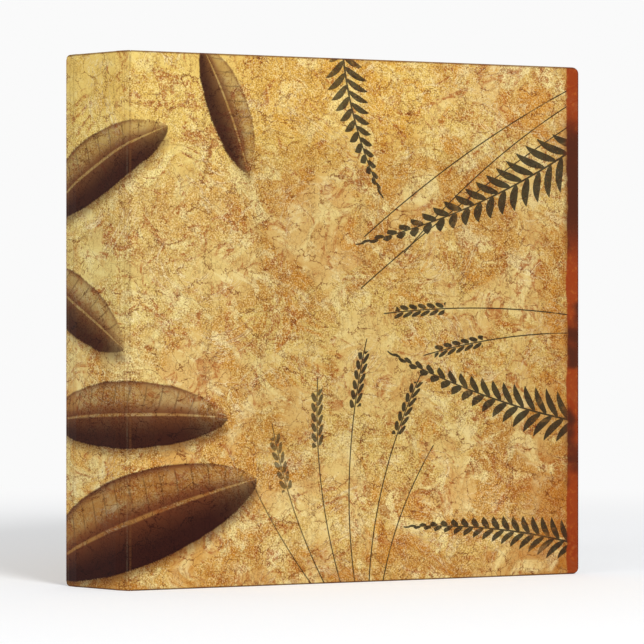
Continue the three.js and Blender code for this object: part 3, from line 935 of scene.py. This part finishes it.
# %% Finishes of the CAD nodes that stay
stay = {
    liner_finish: ("spine_liner", "front_liner", "back_liner"),
    board_finish: ("spine_board", "front_board", "back_board"),
    zinc_finish: ("blade_spine_side", "blade_page_side"),
    clear_vinyl("front_pocket", front_fold, AJAR, -1, 10.0): ("front_pocket",),
    clear_vinyl("back_pocket", back_fold, 0.0, 1, 54.5): ("back_pocket",),
}
for finish, names in stay.items():
    for name in names:
        nodes[name].data.materials.clear()
        nodes[name].data.materials.append(finish)
print("finishes given to", sum(len(names) for names in stay.values()), "nodes")

# %% [markdown]
# ## The ring mechanism
#
# The rings are bent from one round wire, so each half is a circle carried along its centre line.
# The rivets are turned shapes. The plate and the levers are pressed from sheet: their CAD shapes
# are right, but a pressed edge is never sharp, so each is copied and its edges are rounded.

# %% Wires, turned pieces and pressed pieces
pivot = joint_at["spine_side_rings_turn"] / MM
plate_middle = Vector((pivot.x + 11.25, pivot.y + 3.4, pivot.z))
SEAM_ANGLE = math.radians(1.5)
EDGE_ANGLE = math.radians(32)


def joined(name, rows, finish):
    """Rows of points, each row a ring of the same count, joined into a closed shape."""
    count = len(rows[0])
    faces = []
    for i in range(len(rows) - 1):
        for k in range(count):
            n = (k + 1) % count
            faces.append((i * count + k, i * count + n, (i + 1) * count + n, (i + 1) * count + k))
    faces.append(tuple(range(count)))
    faces.append(tuple((len(rows) - 1) * count + k for k in range(count)))
    mesh = bpy.data.meshes.new(name)
    mesh.from_pydata([p * MM for row in rows for p in row], [], faces)
    for face in mesh.polygons:
        face.use_smooth = True
    mesh.materials.append(finish)
    return settled(name, mesh)


def wire(name, path, z, around=24):
    """A round wire along a path of (across, height, radius), in the plane of one ring."""
    rows = []
    for i, (across, up, radius) in enumerate(path):
        before, after = path[max(i - 1, 0)], path[min(i + 1, len(path) - 1)]
        way = Vector((after[0] - before[0], after[1] - before[1])).normalized()
        row = []
        for k in range(around):
            turn = 2 * math.pi * k / around
            out = radius * math.cos(turn)
            at = (across - way.y * out, up + way.x * out)
            row.append(plate_middle + Vector((at[0], -at[1], z + radius * math.sin(turn))))
        rows.append(row)
    return joined(name, rows, nickel_finish)


def turned_piece(name, profile, z, around=40):
    """A profile of (radius, height above the liner) spun about a line square to the cover."""
    rows = []
    for radius, up in profile:
        turns = [2 * math.pi * k / around for k in range(around)]
        ring = [Vector((radius * math.cos(t), -up, z + radius * math.sin(t))) for t in turns]
        rows.append([plate_middle + p for p in ring])
    return joined(name, rows, nickel_finish)


def pressed(name, width):
    """A copy of a CAD node with its flat faces joined and its edges rounded."""
    work = bmesh.new()
    work.from_mesh(nodes[name].data)
    work.transform(nodes[name].matrix_world)
    bmesh.ops.remove_doubles(work, verts=work.verts, dist=1e-6)
    bmesh.ops.dissolve_limit(work, angle_limit=SEAM_ANGLE, verts=work.verts, edges=work.edges)
    mesh = bpy.data.meshes.new(name + "_pressed")
    work.to_mesh(mesh)
    work.free()
    for face in mesh.polygons:
        face.use_smooth = True
    mesh.materials.clear()
    mesh.materials.append(nickel_finish)
    piece = bpy.data.objects.new(name + "_pressed", mesh)
    bpy.context.scene.collection.objects.link(piece)
    bevel = piece.modifiers.new("edges", "BEVEL")
    bevel.width = width * MM
    bevel.segments = 2
    bevel.limit_method = "ANGLE"
    bevel.angle_limit = EDGE_ANGLE
    weighted = piece.modifiers.new("flats", "WEIGHTED_NORMAL")
    weighted.weight = 100
    return piece


print("the plate's middle is at", [round(value, 2) for value in plate_middle])

# %% Centre lines of the half rings
WIRE = 1.8  # radius
TENON = 1.1
LEG_FOOT = 4.3
LEG = 9.2  # from the plate's middle to a leg
TIP = (0.15, 36.5)


def tapered(points):
    """The wire's radius along a half ring: a thin tenon, then full, with a rounded tip."""
    foot = points[0]
    path = [(foot[0], 2.7, TENON), (foot[0], LEG_FOOT - 0.02, TENON)]
    path += [(foot[0], LEG_FOOT, WIRE - 0.25), (foot[0], LEG_FOOT + 0.25, WIRE)]
    path += [(across, up, WIRE) for across, up in points[1:-1]]
    tip, last = Vector(points[-1]), Vector(points[-2])
    way = (tip - last).normalized()
    path += [(*(tip - way * 0.45), WIRE), (*(tip - way * 0.15), WIRE - 0.10), (*tip, WIRE - 0.40)]
    return path


def curved_path():
    """Up from the plate, out in an easy bend, and over in an arc that is round the pages."""
    centre, radius, foot = Vector((-1.0, 20.0)), 16.5, 215.0
    p3 = centre + heading(foot) * radius
    way = Vector((math.sin(math.radians(foot)), -math.cos(math.radians(foot))))
    p0, p1, p2 = Vector((-LEG, 5.5)), Vector((-LEG, 8.5)), p3 - way * 3.0
    points = [(-LEG, LEG_FOOT)]
    for i in range(9):
        t = i / 8
        s = 1 - t
        at = p0 * s**3 + p1 * (3 * s * s * t) + p2 * (3 * s * t * t) + p3 * t**3
        points.append(tuple(at))
    for i in range(1, 41):
        points.append(tuple(centre + heading(foot - 125.0 * i / 40) * radius))
    return points + [(-TIP[0], TIP[1])]


def straight_path():
    """Straight up from the plate, then a tight bend to the tip."""
    points = [(LEG, LEG_FOOT)] + [(LEG, LEG_FOOT + 3.0 + 3.3 * i) for i in range(7)]
    for i in range(13):
        points.append(tuple(Vector((3.2, 30.5)) + heading(7.5 * i) * 6.0))
    return points + [TIP]


print("centre lines of", len(curved_path()), "and", len(straight_path()), "points")

# %% Rings
RING_HEIGHTS = (-107.95, 0.0, 107.95)
HALVES = (
    ("curved", curved_path(), "rings_spine_side"),
    ("straight", straight_path(), "rings_page_side"),
)
for number, z in enumerate(RING_HEIGHTS, start=1):
    for kind, path, body in HALVES:
        name = "ring_" + kind + "_" + str(number)
        half = wire(name + "_wire", tapered(path), z)
        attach(half, body)
        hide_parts(name)
print("six half rings bent")

# %% Rivets, plate and levers
BACK = -3.65  # the outer face of the back cover, below its liner
HEAD_RISE = 1.2
dome_angles = [math.pi / 18 * k for k in range(1, 10)]
dome = [(5.0 * math.sin(a), BACK - HEAD_RISE * math.cos(a)) for a in dome_angles]
shank = [(2.0, BACK), (2.0, 0.3), (2.6, 0.3), (2.6, 7.3), (2.0, 7.3), (2.0, 8.8)]
cap = [(3.5, 8.8), (3.6, 8.95), (3.5, 9.2), (3.15, 9.42)]
cap += [(2.5, 9.55), (1.5, 9.56), (0.9, 9.45), (0.02, 9.4)]
profile = [(0.02, BACK - HEAD_RISE)] + dome + shank + cap
for number, z in enumerate((-120.0, 120.0), start=1):
    head = turned_piece("rivet_" + str(number) + "_turned", profile, z)
    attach(head, "back_cover")
    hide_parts("rivet_" + str(number))
for name, width, body in (
    ("ring_plate", 0.28, "back_cover"),
    ("lever_top", 0.40, "lever_top"),
    ("lever_bottom", 0.40, "lever_bottom"),
):
    piece = pressed(name, width)
    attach(piece, body)
    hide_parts(name)
print("two rivets turned, plate and levers pressed")

# %% [markdown]
# ## Floor, backdrop and light
#
# The binder stands on a white sweep. A large soft lamp in front throws its faint shadow back and to
# the left, a weaker one at the side keeps the spine's side open, and a pale room fills the rest.
# A floor this pale would still come out grey, so rays that only show the surroundings see a little
# glow added near the binder and plain white further out, and the shadow stays.

# %% A room that lights softly and looks white
ROOM_LIGHT = 0.50
WHITE = (0.956, 0.956, 0.956, 1)
FLOOR_PAINT = (0.770, 0.780, 0.795, 1)
FLOOR_GLOW = 0.24


def looked_at(sheet):
    """1 for a ray that shows the surroundings: from the camera, or through a gloss or glass."""
    path = sheet.add("ShaderNodeLightPath")
    kinds = ("Is Camera Ray", "Is Glossy Ray", "Is Transmission Ray")
    seen = [Wire(sheet, path.outputs[kind]) for kind in kinds]
    return seen[0].most(seen[1]).most(seen[2])


def white_room():
    world = bpy.data.worlds.new("soft_room")
    bpy.context.scene.world = world
    world.use_nodes = True
    sheet = Sheet("", world.node_tree)
    soft = sheet.add("ShaderNodeBackground", None, Color=(1, 1, 1, 1), Strength=ROOM_LIGHT)
    shown = sheet.add("ShaderNodeBackground", None, Color=WHITE, Strength=1.0)
    mix = sheet.add(
        "ShaderNodeMixShader",
        None,
        i0=looked_at(sheet),
        i1=Paint(sheet, soft.outputs[0]),
        i2=Paint(sheet, shown.outputs[0]),
    )
    sheet.add("ShaderNodeOutputWorld", None, i0=Paint(sheet, mix.outputs[0]))


white_room()
print("room made")

# %% Two soft lamps, the stronger in front, and the floor


def soft_lamp(name, place, aim, size, watts):
    data = bpy.data.lights.new(name, "AREA")
    data.shape = "DISK"
    data.size = size
    data.energy = watts
    lamp = bpy.data.objects.new(name, data)
    bpy.context.scene.collection.objects.link(lamp)
    lamp.location = place
    lamp.rotation_euler = (Vector(aim) - Vector(place)).to_track_quat("-Z", "Y").to_euler()


soft_lamp("key_lamp", (-0.93, -2.21, 1.85), (0, 0, 0.12), 1.0, 51)
soft_lamp("side_lamp", (-2.6, 0.9, 1.3), (0, 0, 0.15), 2.0, 17)


def floor_finish():
    """Pale to the lamps. The camera adds a glow that brings the lit floor up to white."""
    sheet = Sheet("white_floor")
    x, y, _ = placed(sheet)
    far = (x * x + y * y) ** 0.5
    lit = sheet.add("ShaderNodeBsdfDiffuse", None, i0=FLOOR_PAINT)
    glow = sheet.add("ShaderNodeEmission", None, i0=(1, 1, 1, 1), i1=FLOOR_GLOW)
    caught = sheet.add(
        "ShaderNodeAddShader",
        None,
        i0=Paint(sheet, lit.outputs[0]),
        i1=Paint(sheet, glow.outputs[0]),
    )
    white = sheet.add("ShaderNodeEmission", None, i0=WHITE, i1=1.0)
    away = sheet.add(
        "ShaderNodeMixShader",
        None,
        i0=far.step(350.0, 900.0),
        i1=Paint(sheet, caught.outputs[0]),
        i2=Paint(sheet, white.outputs[0]),
    )
    shown = sheet.add(
        "ShaderNodeMixShader",
        None,
        i0=looked_at(sheet),
        i1=Paint(sheet, lit.outputs[0]),
        i2=Paint(sheet, away.outputs[0]),
    )
    sheet.add("ShaderNodeOutputMaterial", None, i0=Paint(sheet, shown.outputs[0]))
    return sheet.material


floor_mesh = bpy.data.meshes.new("floor")
floor_mesh.from_pydata([(-6, -6, 0), (6, -6, 0), (6, 6, 0), (-6, 6, 0)], [], [(0, 1, 2, 3)])
floor = bpy.data.objects.new("floor", floor_mesh)
floor_mesh.materials.append(floor_finish())
bpy.context.scene.collection.objects.link(floor)
bpy.context.scene.view_settings.view_transform = "Standard"
print("floor and lamps placed")
